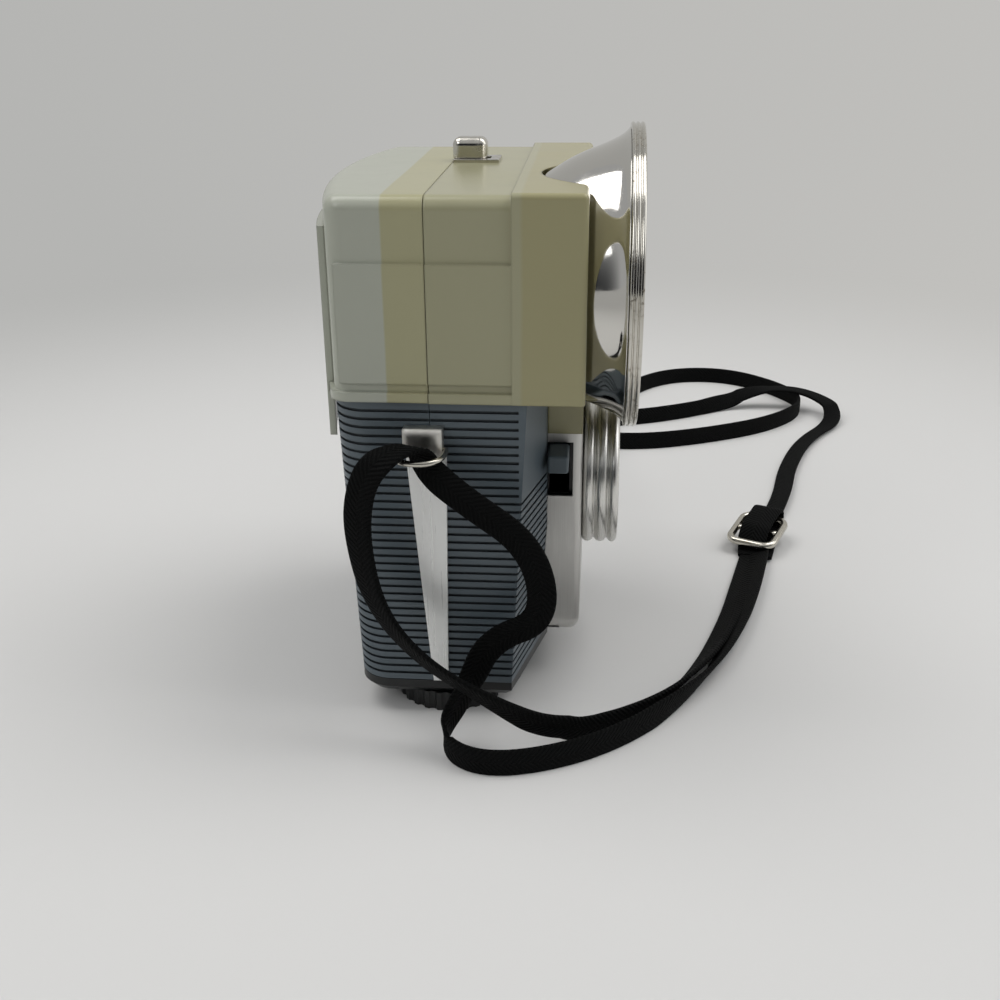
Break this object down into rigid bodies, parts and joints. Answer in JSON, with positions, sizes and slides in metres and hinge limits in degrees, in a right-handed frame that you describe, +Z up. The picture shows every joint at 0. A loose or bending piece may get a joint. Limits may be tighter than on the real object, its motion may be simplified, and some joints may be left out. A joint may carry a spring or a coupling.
{
  "type": "film camera",
  "caption": "Upright snapshot film camera with a ribbed body, putty housing, built-in flash bowl, side trim and a black neck strap.",
  "frame": {"origin": "floor point under the middle of the camera's bounding box, strap left out", "axes": "+Z up, -Y the way the lens looks, +X from the winding knob's side to the viewfinder's side"},
  "size_m": [0.309, 0.1709, 0.1393],
  "materials": {
    "putty_plastic": "light grey-green moulded plastic, yellowed towards the front",
    "slate_plastic": "dark slate ribbed plastic",
    "black_plastic": "satin black plastic",
    "brushed_aluminium": "fine vertical brushing",
    "turned_aluminium": "turned and polished",
    "bright_chrome": "vacuum plated, mirror bright",
    "nickel": "slightly worn nickel plating",
    "spring_steel": "plain spring strip",
    "contact_brass": "plain brass strip",
    "clear_glass": "clear polished lens",
    "red_plastic": "clear ruby plastic",
    "cell_jacket": "plain painted jacket",
    "black_webbing": "flat braided webbing"
  },
  "bodies": {
    "camera": {"front_body": "slate_plastic", "base_plate": "black_plastic", "hinge_pin": "spring_steel", "front_housing": "putty_plastic", "front_panel": "brushed_aluminium", "shutter_case": "black_plastic", "shutter_plate": "spring_steel", "lever_spring": "spring_steel", "lens_barrel": "turned_aluminium", "lens_glass": "clear_glass", "lens_bezel": "black_plastic", "reflector": "bright_chrome", "reflector_rim": "bright_chrome", "latch_plate": "nickel", "latch_spring": "spring_steel", "cell_tray": "black_plastic", "cell_lower": "cell_jacket", "cell_upper": "cell_jacket", "cell_contacts": "contact_brass", "bulb_socket": "nickel", "bulb_contact": "contact_brass", "finder_lens": "clear_glass", "finder_tunnel": "black_plastic", "trim_strip": "bright_chrome", "strap_lug": "nickel", "film_gate": "black_plastic", "spool_pins": "nickel", "neck_strap": "black_webbing", "strap_buckle": "nickel"},
    "knob": {"winding_knob": "black_plastic", "winding_key": "nickel"},
    "spool": {"takeup_spool": "black_plastic"},
    "lever": {"release_lever": "slate_plastic"},
    "blade": {"shutter_blade": "spring_steel"},
    "latch": {"latch_button": "nickel"},
    "back": {"rear_body": "slate_plastic", "rear_housing": "putty_plastic", "latch_catch": "nickel", "back_plate": "putty_plastic", "film_window": "red_plastic", "finder_eyepiece": "clear_glass", "pressure_plate": "spring_steel", "pressure_spring": "spring_steel"},
    "slide": {"window_slide": "black_plastic"},
    "near_ring": {"ring_near": "nickel"},
    "far_ring": {"ring_far": "nickel"}
  },
  "joints": [
    {"name": "knob_spin", "type": "hinge", "parent": "camera", "child": "knob", "pos_m": [-0.028, 0.00765, 0.0025], "axis": [0, 0, 1], "continuous": true},
    {"name": "takeup_spin", "type": "hinge", "parent": "camera", "child": "spool", "pos_m": [-0.028, 0.00765, 0.0499], "axis": [0, 0, 1], "continuous": true},
    {"name": "release_press", "type": "hinge", "parent": "camera", "child": "lever", "pos_m": [-0.01, -0.01945, 0.0601], "axis": [0, -1, 0], "range_deg": [0, 18], "stiffness_Nm_per_rad": 0.02, "springref_deg": -5.73},
    {"name": "blade_swing", "type": "hinge", "parent": "camera", "child": "blade", "pos_m": [0.011, -0.0215, 0.04], "axis": [0, 1, 0], "range_deg": [0, 36]},
    {"name": "latch_push", "type": "slide", "parent": "camera", "child": "latch", "axis": [0, -1, 0], "range_m": [0, 0.003], "stiffness_N_per_m": 150, "springref_m": -0.001},
    {"name": "back_open", "type": "hinge", "parent": "camera", "child": "back", "pos_m": [0, 0.02965, 0.0082], "axis": [-1, 0, 0], "range_deg": [0, 90]},
    {"name": "window_cover", "type": "slide", "parent": "back", "child": "slide", "axis": [1, 0, 0], "range_m": [0, 0.012]},
    {"name": "near_ring_swing", "type": "hinge", "parent": "camera", "child": "near_ring", "pos_m": [-0.0472, 0.01095, 0.0723], "axis": [0, 1, 0], "range_deg": [-12, 12]},
    {"name": "far_ring_swing", "type": "hinge", "parent": "camera", "child": "far_ring", "pos_m": [0.0472, 0.01095, 0.0723], "axis": [0, 1, 0], "range_deg": [-12, 12]}
  ],
  "couplings": [
    {"joint": "takeup_spin", "follows": "knob_spin", "ratio": 1},
    {"joint": "blade_swing", "follows": "release_press", "ratio": 2}
  ]
}
